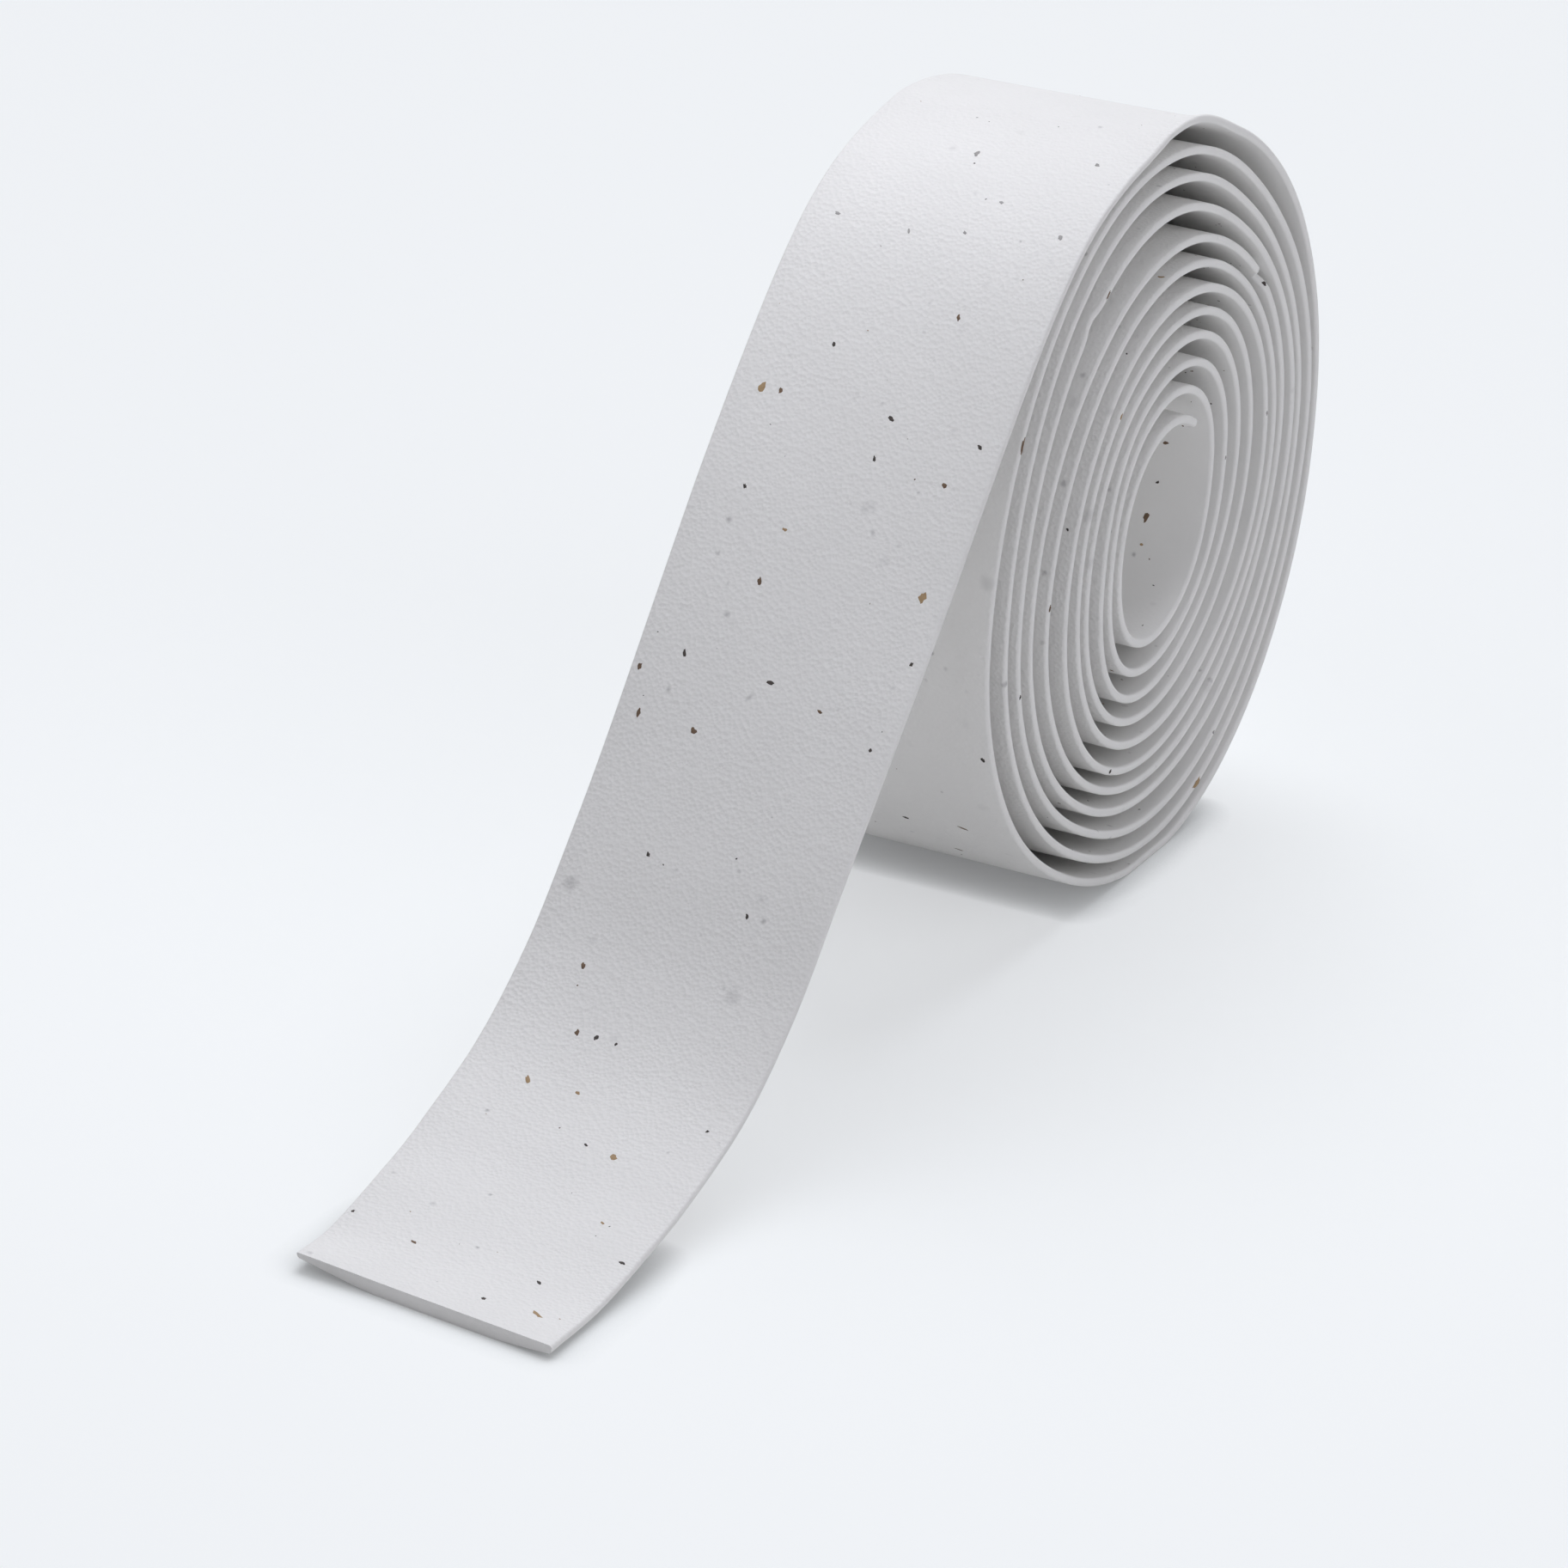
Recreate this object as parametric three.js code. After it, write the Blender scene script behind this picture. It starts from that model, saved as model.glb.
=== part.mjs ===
// A roll of foam handlebar tape, standing on its rim like a wheel.
// The tape's inner end lies free at the top of the eye, its turns lie loosely on each other,
// and its outer end comes off the top and sweeps down to the floor as a tail.
// Millimetres, +Z up. The roll's axis runs along Y and the tail goes towards +X.
// The origin lies on the floor under the middle of the roll and its tail.
import * as THREE from 'three';

// The tape's section: a flat show face, thin edges and a back that swells to full thickness
const TAPE_WIDTH = 30;
const TAPE_THICKNESS = 1.5;
const EDGE_THICKNESS = 0.9;
const EDGE_ROUNDING = 0.3;
const BACK_SWELL_WIDTH = 10;
// How much of the swell the back has halfway across that border
const SWELL_SHARE_HALFWAY = 0.68;

// The eye: distance from the roll's axis to the show face of the innermost turn, by direction.
// The six directions start above and a little behind the axis and go forwards round the roll:
// top back, top front, front, bottom front, bottom back, back.
const EYE_RADII = [11.4, 12.1, 11.9, 12.7, 11.7, 11.4];

// The air between a turn and the one wound over it, in the same six directions,
// from the eye outwards. The last row ends where the tail leaves the roll.
const AIR_BETWEEN_TURNS = [
  [1.3, 1.7, 0.6, 1.5, 1.1, 1.5],
  [1.6, 0.8, 0.7, 1.2, 1.2, 1.8],
  [1.3, 1.5, 2.0, 0.9, 1.5, 1.8],
  [1.0, 1.0, 0.8, 0.8, 1.7, 2.5],
  [0.9, 1.5, 1.8, 1.2, 1.3, 0.7],
  [0.7, 2.4, 2.8, 0.7, 0.9, 0.6],
  [0.7, 2.2, 2.6, 0.8, 0.8, 0.7],
  [0.6, 3.8, 1.6, 0.7, 2.1, 0.7],
  [0.8, 2.6, 1.2, 1.1, 1.2, 0.6],
  [1.1, 1.8, 2.9, 1.0, 0.7, 0.6],
  [1.8, 1.5],
];

// The small flat on which the soft roll stands: how far its lowest turn is pressed in
const FLAT_DEPTH = 0.3;

// How much lower the top of the roll is at its far edge than at its near edge
const FAR_EDGE_SAG = 2;

// The tail: how far it reaches in front of the point where it leaves the roll, and its route
// as shares of that reach and of the height it falls
const TAIL_REACH = 112.6;
const TAIL_ROUTE = [
  [0.064, 0.935],
  [0.109, 0.879],
  [0.199, 0.735],
  [0.284, 0.594],
  [0.38, 0.447],
  [0.467, 0.314],
  [0.548, 0.192],
  [0.637, 0.103],
  [0.747, 0.047],
  [0.84, 0.019],
  [0.91, 0.004],
  [0.96, 0],
  [1, 0],
];
// The tail is twisted a little: its far edge dips between these shares of its length
const TAIL_TWIST = 2;
const TWIST_START_SHARE = 0.25;
const TWIST_END_SHARE = 0.8;
// How much further one corner of the cut end reaches than the other
const CUT_SKEW = 5.6;

// How finely the tape is divided along its length
const STEPS_PER_DIRECTION = 6;
const TAIL_STEP = 3.2;

const DIRECTIONS = EYE_RADII.length;
const START_ANGLE = 2 * Math.PI / 3;
const DIRECTION_ANGLE = 2 * Math.PI / DIRECTIONS;

// Radii of the show face in each direction, turn after turn, from the inner end of the tape outwards
function turnRadii() {
  const radii = [...EYE_RADII];
  for (const row of AIR_BETWEEN_TURNS) {
    for (const air of row) {
      radii.push(radii[radii.length - DIRECTIONS] + TAPE_THICKNESS + air);
    }
  }
  return radii;
}

// A smooth value between two directions, by a Catmull-Rom spline
function smoothBetween(values, place) {
  const index = Math.min(Math.floor(place), values.length - 2);
  const share = place - index;
  const here = values[index];
  const next = values[index + 1];
  const before = values[index - 1] ?? 2 * here - next;
  const after = values[index + 2] ?? 2 * next - here;
  const bend = 2 * before - 5 * here + 4 * next - after;
  const twist = 3 * (here - next) + after - before;
  return here + 0.5 * share * (next - before + share * (bend + share * twist));
}

// The wound part of the route as [x, z] points of the show face, set down on its flat
function rollRoute() {
  const radii = turnRadii();
  const steps = (radii.length - 1) * STEPS_PER_DIRECTION;
  const points = [];
  for (let step = 0; step <= steps; step++) {
    const place = step / STEPS_PER_DIRECTION;
    const angle = START_ANGLE - place * DIRECTION_ANGLE;
    const radius = smoothBetween(radii, place);
    points.push(new THREE.Vector2(radius * Math.cos(angle), radius * Math.sin(angle)));
  }
  const lowest = Math.min(...points.map((point) => point.y));
  for (const point of points) {
    point.y = Math.max(point.y - lowest - FLAT_DEPTH, 0);
  }
  return points;
}

// The free end, from the point where it leaves the roll to the cut end on the floor
function tailRoute(roll) {
  const leave = roll[roll.length - 1];
  const fall = leave.y - TAPE_THICKNESS;
  const guides = [roll[roll.length - 3], leave];
  for (const [reachShare, heightShare] of TAIL_ROUTE) {
    const x = leave.x + reachShare * TAIL_REACH;
    guides.push(new THREE.Vector2(x, TAPE_THICKNESS + heightShare * fall));
  }
  const curve = new THREE.SplineCurve(guides);
  const first = 1 / (guides.length - 1);
  const length = curve.getLength() * (1 - first);
  const count = Math.ceil(length / TAIL_STEP);
  const points = [];
  for (let step = 1; step <= count; step++) {
    const point = curve.getPoint(first + (1 - first) * step / count);
    point.y = Math.max(point.y, TAPE_THICKNESS);
    points.push(point);
  }
  return points;
}

// How far the far edge dips at a share of the tail's length
function twistDip(share) {
  const part = (share - TWIST_START_SHARE) / (TWIST_END_SHARE - TWIST_START_SHARE);
  return TAIL_TWIST * Math.sin(Math.PI * THREE.MathUtils.clamp(part, 0, 1)) ** 2;
}

// How far the far edge sinks at a height: nothing up to the middle of the roll, most at its top
function farEdgeSag(height, top) {
  const share = Math.max(2 * height / top - 1, 0);
  return FAR_EDGE_SAG * share ** 2;
}

// The section as [across, inward] points, seen along the tape
function tapeSection() {
  const half = TAPE_WIDTH / 2;
  const swell = TAPE_THICKNESS - EDGE_THICKNESS;
  const side = [
    [half - EDGE_ROUNDING, 0],
    [half, EDGE_ROUNDING],
    [half, EDGE_THICKNESS - EDGE_ROUNDING],
    [half - 2 * EDGE_ROUNDING, EDGE_THICKNESS],
    [half - BACK_SWELL_WIDTH / 2, EDGE_THICKNESS + SWELL_SHARE_HALFWAY * swell],
    [half - BACK_SWELL_WIDTH, TAPE_THICKNESS],
  ];
  const otherSide = side.map(([across, inward]) => [-across, inward]).reverse();
  return [...side, ...otherSide];
}

// The tape as one closed body: the section carried along the route and closed at both ends
function tapeGeometry() {
  const roll = rollRoute();
  const route = [...roll, ...tailRoute(roll)];
  const section = tapeSection();
  const top = Math.max(...roll.map((point) => point.y));
  const last = route.length - 1;
  const positions = [];
  for (let step = 0; step <= last; step++) {
    const from = route[Math.max(step - 1, 0)];
    const to = route[Math.min(step + 1, last)];
    const along = to.clone().sub(from).normalize();
    const tailShare = Math.max((step - roll.length) / (last - roll.length), 0);
    const skew = tailShare * CUT_SKEW / TAPE_WIDTH;
    const dip = twistDip(tailShare);
    const sag = farEdgeSag(route[step].y, top);
    for (const [across, inward] of section) {
      const farShare = 0.5 - across / TAPE_WIDTH;
      const depth = inward + dip * farShare;
      const x = route[step].x + along.y * depth + along.x * skew * across;
      const z = route[step].y - along.x * depth + along.y * skew * across - sag * farShare;
      positions.push(x, across, Math.max(z, 0));
    }
  }
  const size = section.length;
  const faces = [];
  for (let step = 0; step < last; step++) {
    for (let corner = 0; corner < size; corner++) {
      const a = step * size + corner;
      const b = step * size + (corner + 1) % size;
      faces.push(a, a + size, b, b, a + size, b + size);
    }
  }
  const outline = section.map(([across, inward]) => new THREE.Vector2(across, inward));
  for (const [a, b, c] of THREE.ShapeUtils.triangulateShape(outline, [])) {
    const end = last * size;
    faces.push(a, b, c, end + a, end + c, end + b);
  }
  const geometry = new THREE.BufferGeometry();
  geometry.setAttribute('position', new THREE.Float32BufferAttribute(positions, 3));
  geometry.setIndex(faces);
  geometry.computeVertexNormals();
  geometry.computeBoundingBox();
  return geometry;
}

const foam = new THREE.MeshStandardMaterial({ color: 0xe9e7ea, roughness: 0.75, metalness: 0 });
const tape = new THREE.Mesh(tapeGeometry(), foam);
tape.name = 'tape';
const { min, max } = tape.geometry.boundingBox;
tape.position.x = -(min.x + max.x) / 2;

const object = new THREE.Group();
object.add(tape);
export default object;
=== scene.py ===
"""A roll of foam handlebar tape, standing on its rim with its free end swept down to the floor.

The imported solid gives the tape's place and size. This script winds the same tape again with soft
edges, small wanders and nicks, sets cork flecks into its skin, and stands it on a pale studio floor.
Route values are in millimetres, as the tape was measured; everything made from them is in metres.
"""
import math
import random

import bpy
from bpy.props import FloatProperty, FloatVectorProperty, IntProperty, PointerProperty
from bpy.types import Operator, Panel, PropertyGroup
from mathutils import Matrix, Vector, noise


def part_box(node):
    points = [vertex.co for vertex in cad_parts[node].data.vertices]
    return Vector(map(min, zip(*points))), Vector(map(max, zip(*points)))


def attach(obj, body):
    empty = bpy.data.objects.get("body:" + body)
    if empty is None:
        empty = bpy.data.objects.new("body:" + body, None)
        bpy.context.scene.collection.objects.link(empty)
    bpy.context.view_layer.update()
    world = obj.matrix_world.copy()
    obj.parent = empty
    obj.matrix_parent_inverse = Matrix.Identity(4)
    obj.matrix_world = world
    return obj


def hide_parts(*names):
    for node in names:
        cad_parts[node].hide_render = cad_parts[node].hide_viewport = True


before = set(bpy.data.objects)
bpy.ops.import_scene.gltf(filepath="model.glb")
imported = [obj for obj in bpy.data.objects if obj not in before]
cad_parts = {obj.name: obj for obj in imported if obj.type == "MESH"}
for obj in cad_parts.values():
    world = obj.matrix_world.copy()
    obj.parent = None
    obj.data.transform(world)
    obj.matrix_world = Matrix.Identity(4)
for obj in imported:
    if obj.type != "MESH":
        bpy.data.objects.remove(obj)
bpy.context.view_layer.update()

bl_info = {
    "name": "Handlebar tape roll",
    "version": (1, 0, 0),
    "blender": (4, 5, 0),
    "location": "3D View > Sidebar > Tape roll",
    "description": "Winds a roll of flecked foam bar tape and lights it on a pale floor",
    "category": "Object",
}

MM = 0.001

# The eye and the turns, as in the solid: distances from the roll's axis in six directions,
# starting above and a little behind the axis and going forwards round the roll
EYE_RADII = (11.4, 12.1, 11.9, 12.7, 11.7, 11.4)
AIR_BETWEEN_TURNS = (
    (1.3, 1.7, 0.6, 1.5, 1.1, 1.5),
    (1.6, 0.8, 0.7, 1.2, 1.2, 1.8),
    (1.3, 1.5, 2.0, 0.9, 1.5, 1.8),
    (1.0, 1.0, 0.8, 0.8, 1.7, 2.5),
    (0.9, 1.5, 1.8, 1.2, 1.3, 0.7),
    (0.7, 2.4, 2.8, 0.7, 0.9, 0.6),
    (0.7, 2.2, 2.6, 0.8, 0.8, 0.7),
    (0.6, 3.8, 1.6, 0.7, 2.1, 0.7),
    (0.8, 2.6, 1.2, 1.1, 1.2, 0.6),
    (1.1, 1.8, 2.9, 1.0, 0.7, 0.6),
    (1.8, 1.5),
)
START_ANGLE = math.radians(120)
DIRECTIONS = len(EYE_RADII)
DIRECTION_ANGLE = math.tau / DIRECTIONS
TAIL_START_LEAD = 1 / 3

# The tail's route as shares of its reach and of the height it falls
TAIL_ROUTE = (
    (0.064, 0.935),
    (0.109, 0.879),
    (0.199, 0.735),
    (0.284, 0.594),
    (0.38, 0.447),
    (0.467, 0.314),
    (0.548, 0.192),
    (0.637, 0.103),
    (0.747, 0.047),
    (0.84, 0.019),
    (0.91, 0.004),
    (0.96, 0),
    (1, 0),
)
TWIST_START_SHARE = 0.25
TWIST_END_SHARE = 0.8

# Small marks on the near edge of single turns: millimetres from the inner end, how far the mark
# reaches to each side, how far the edge bends away from the roll's axis, and how far it is cut back
EDGE_MARKS = (
    (896.0, 1.9, 0.3, 1.3),
    (1147.0, 2.6, 0.4, 0.2),
    (1841.0, 13.0, 0.9, 0.0),
)
# The far corner of the cut end: how far back it curls, how high it lifts, and how far its skin
# points out over the foam, in millimetres, and where the curl starts, as a share of the width
# from the middle
CORNER_REACH = 7.0
CORNER_LIFT = 0.4
CORNER_POINT = 0.6
CORNER_START = 0.1

# The bend where the tail leaves the roll is eased between these stations, counted from there,
# by averaging neighbours this many times
EASED_STATIONS = (-14, 34)
EASING_PASSES = 90

# The turns wander sideways and their edges bend in and out, in waves of this length along the
# tape in millimetres. Each has its own row of the noise.
WANDER_WAVE = 41
WANDER_ROW = 3.7
FLARE_WAVE = 17
NEAR_FLARE_ROW = 9.1
FAR_FLARE_ROW = 5.3
# Where the border that bends starts, as a share of half the width
BORDER_START = 0.72
# The share of the tail after which it no longer wanders with the turns
CALM_SHARE = 0.2

# How finely the skin is divided: points for each direction of a turn, the distance between
# the stations that are kept, and the columns of points across the tape
FINE_STEPS = 30
STATION_STEP = 1.15
SHOW_COLUMNS = 13
BACK_COLUMNS = 7
EDGE_ARC_STEPS = 3
SWELL_STEPS = 5
# A depth of nearly the edge's whole thickness already lies on the back
NEARLY_ALL = 0.99


class TapeSizes(PropertyGroup):
    """Sizes of the foam tape and of its roll."""

    width: FloatProperty(
        name="Width", description="Width of the tape", default=0.030, unit="LENGTH", precision=4)
    thickness: FloatProperty(
        name="Thickness", description="Thickness in the middle", default=0.0015, unit="LENGTH", precision=4)
    edge_thickness: FloatProperty(
        name="Edge", description="Thickness at the edges", default=0.0009, unit="LENGTH", precision=5)
    rounding: FloatProperty(
        name="Rounding", description="Radius of the edges", default=0.0003, unit="LENGTH", precision=5)
    swell_width: FloatProperty(
        name="Swell", description="Width of the border in which the back swells", default=0.010,
        unit="LENGTH", precision=4)
    flat: FloatProperty(
        name="Flat", description="How far the lowest turn is pressed in", default=0.0003,
        unit="LENGTH", precision=5)
    sag: FloatProperty(
        name="Far edge sag", description="How much lower the roll's top is at its far edge",
        default=0.002, unit="LENGTH", precision=4)
    tail_reach: FloatProperty(
        name="Tail reach", description="How far the tail reaches in front of the point it leaves",
        default=0.1126, unit="LENGTH", precision=4)
    twist: FloatProperty(
        name="Tail twist", description="How far the far edge of the tail dips", default=0.002,
        unit="LENGTH", precision=4)
    skew: FloatProperty(
        name="Cut skew", description="How much further one corner of the cut end reaches",
        default=0.0056, unit="LENGTH", precision=4)
    wander: FloatProperty(
        name="Wander", description="How far the turns wander sideways", default=0.00028,
        unit="LENGTH", precision=5)
    flare: FloatProperty(
        name="Flare", description="How far the edges bend in and out", default=0.00014,
        unit="LENGTH", precision=5)


class FoamLook(PropertyGroup):
    """Finish of the foam and of the flecks in it."""

    colour: FloatVectorProperty(
        name="Foam", description="Colour of the foam", default=(0.855, 0.848, 0.828), subtype="COLOR")
    spot_colour: FloatVectorProperty(
        name="Sunk flecks", description="Colour of flecks that lie under the skin",
        default=(0.42, 0.41, 0.41), subtype="COLOR")
    roughness: FloatProperty(
        name="Roughness", description="Roughness of the skin", default=0.62, min=0, max=1, subtype="FACTOR")
    grain_size: FloatProperty(
        name="Grain", description="Size of the leather grain", default=0.00045, unit="LENGTH", precision=5)
    grain_depth: FloatProperty(
        name="Grain depth", description="Depth of the leather grain", default=0.00006,
        unit="LENGTH", precision=6)
    fleck_count: IntProperty(
        name="Flecks", description="Number of scattered cork flecks", default=2200, min=0)
    seed: IntProperty(
        name="Seed", description="Start of the fleck scatter", default=7)


class StudioLook(PropertyGroup):
    """Floor, light and camera."""

    backdrop_colour: FloatVectorProperty(
        name="Backdrop", description="Colour behind the floor", default=(0.871, 0.905, 0.930),
        subtype="COLOR")
    floor_colour: FloatVectorProperty(
        name="Floor", description="Colour of the floor", default=(0.86, 0.86, 0.85), subtype="COLOR")
    glow_colour: FloatVectorProperty(
        name="Floor glow", description="Colour that the floor keeps in the object's shadow",
        default=(0.97, 0.975, 1.0), subtype="COLOR")
    glow_level: FloatProperty(
        name="Glow level", description="How much of the seen floor is its own glow", default=0.54,
        min=0, max=1, subtype="FACTOR")
    contact_reach: FloatProperty(
        name="Contact shadow", description="How far the dark line along the object's foot reaches",
        default=0.004, unit="LENGTH", precision=4)
    key_strength: FloatProperty(
        name="Key", description="Strength of the soft key light", default=1.85, min=0)
    key_softness: FloatProperty(
        name="Key softness", description="Angle that the key light covers", default=math.radians(50),
        subtype="ANGLE")
    side_strength: FloatProperty(
        name="Side light", description="Strength of the soft light from the near side", default=0.55, min=0)
    side_softness: FloatProperty(
        name="Side softness", description="Angle that the side light covers", default=math.radians(60),
        subtype="ANGLE")
    lamp_power: FloatProperty(
        name="Lamp", description="Power in watts of the small lamp over the tail", default=0.026, min=0)
    lamp_size: FloatProperty(
        name="Lamp size", description="Width of the small lamp", default=0.10, unit="LENGTH")
    fill_strength: FloatProperty(
        name="Fill", description="Level of the light from all round", default=0.23, min=0)


def smooth_between(values, place):
    """A smooth value between two entries of a list, by a Catmull-Rom spline."""
    index = min(int(place), len(values) - 2)
    share = place - index
    here = values[index]
    following = values[index + 1]
    before = values[index - 1] if index else 2 * here - following
    after = values[index + 2] if index + 2 < len(values) else 2 * following - here
    bend = 2 * before - 5 * here + 4 * following - after
    twist = 3 * (here - following) + after - before
    return here + 0.5 * share * (following - before + share * (bend + share * twist))


def turn_radii(thickness):
    """Radii of the show face in each direction, in metres, from the inner end outwards."""
    radii = [radius * MM for radius in EYE_RADII]
    for row in AIR_BETWEEN_TURNS:
        for air in row:
            radii.append(radii[-DIRECTIONS] + thickness + air * MM)
    return radii


def roll_point(radii, place):
    """The point of the show face at a place along the turns, as (x, z) from the roll's axis."""
    angle = START_ANGLE - place * DIRECTION_ANGLE
    radius = smooth_between(radii, place)
    return Vector((radius * math.cos(angle), radius * math.sin(angle)))


def tape_route(sizes):
    """Evenly spaced (x, z) points of the show face from the inner end to the cut end.

    Returns them with the number of the station where the tail leaves the roll.
    """
    radii = turn_radii(sizes.thickness)
    last_place = len(radii) - 1
    steps = last_place * FINE_STEPS
    roll = [roll_point(radii, step / FINE_STEPS) for step in range(steps + 1)]
    lead = roll_point(radii, last_place - TAIL_START_LEAD)
    drop = min(point.y for point in roll) + sizes.flat
    for point in roll + [lead]:
        point.y = max(point.y - drop, 0)

    leave = roll[-1]
    fall = leave.y - sizes.thickness
    guides = [lead, leave]
    for reach_share, height_share in TAIL_ROUTE:
        x = leave.x + reach_share * sizes.tail_reach
        guides.append(Vector((x, sizes.thickness + height_share * fall)))
    tail = []
    for step in range(FINE_STEPS, (len(guides) - 1) * FINE_STEPS + 1):
        point = smooth_between(guides, step / FINE_STEPS)
        tail.append(Vector((point.x, max(point.y, sizes.thickness))))

    roll = evenly_spaced(roll, STATION_STEP * MM)
    tail = evenly_spaced(tail, STATION_STEP * MM)
    leave_station = len(roll) - 1
    route = roll + tail[1:]
    first, last = (leave_station + stations for stations in EASED_STATIONS)
    for _ in range(EASING_PASSES):
        eased = [(route[i - 1] + 2 * route[i] + route[i + 1]) / 4 for i in range(first, last)]
        route[first:last] = eased
    return route, leave_station


def evenly_spaced(points, step):
    """The same polyline with its points a constant distance apart."""
    lengths = [0.0]
    for before, here in zip(points, points[1:]):
        lengths.append(lengths[-1] + (here - before).length)
    count = round(lengths[-1] / step)
    spaced = []
    index = 0
    for number in range(count + 1):
        target = lengths[-1] * number / count
        while index < len(points) - 2 and lengths[index + 1] < target:
            index += 1
        share = (target - lengths[index]) / (lengths[index + 1] - lengths[index])
        spaced.append(points[index].lerp(points[index + 1], share))
    return spaced


def tape_section(sizes):
    """The section as (across, depth) points, show face first, then round one edge to the back."""
    half = sizes.width / 2
    flat_half = half - sizes.rounding
    radius = sizes.rounding
    show = []
    for column in range(SHOW_COLUMNS):
        show.append((flat_half * (2 * column / (SHOW_COLUMNS - 1) - 1), 0.0))
    edge = []
    for step in range(1, EDGE_ARC_STEPS + 1):
        turn = math.pi / 2 * step / EDGE_ARC_STEPS
        edge.append((flat_half + radius * math.sin(turn), radius * (1 - math.cos(turn))))
    low = sizes.edge_thickness
    for step in range(EDGE_ARC_STEPS):
        turn = math.pi / 2 * step / EDGE_ARC_STEPS
        edge.append((flat_half + radius * math.cos(turn), low - radius * (1 - math.sin(turn))))
    for step in range(SWELL_STEPS):
        share = step / SWELL_STEPS
        depth = low + (sizes.thickness - low) * math.sin(math.pi / 2 * share)
        edge.append((flat_half - share * (sizes.swell_width - radius), depth))
    back_half = half - sizes.swell_width
    back = []
    for column in range(BACK_COLUMNS):
        back.append((back_half * (1 - 2 * column / (BACK_COLUMNS - 1)), sizes.thickness))
    far_edge = [(-across, depth) for across, depth in reversed(edge)]
    return show + edge + back + far_edge


def ease(start, end, value):
    """0 before start, 1 after end, and smooth between."""
    share = min(max((value - start) / (end - start), 0), 1)
    return share * share * (3 - 2 * share)


def twist_dip(share, amount):
    """How far the far edge dips at a share of the tail's length."""
    part = min(max((share - TWIST_START_SHARE) / (TWIST_END_SHARE - TWIST_START_SHARE), 0), 1)
    return amount * math.sin(math.pi * part) ** 2


def far_edge_sag(height, top, amount):
    """How far the far edge sinks at a height: nothing up to the roll's middle, most at its top."""
    return amount * max(2 * height / top - 1, 0) ** 2


def edge_mark(place):
    """How far the near edge bends outwards and is cut back at a place along the tape."""
    outwards = 0
    cut = 0
    for middle, reach, bend, depth in EDGE_MARKS:
        share = ease(0, 1, 1 - abs(place - middle) / reach)
        outwards += bend * share
        cut += depth * share
    return outwards * MM, cut * MM


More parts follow.
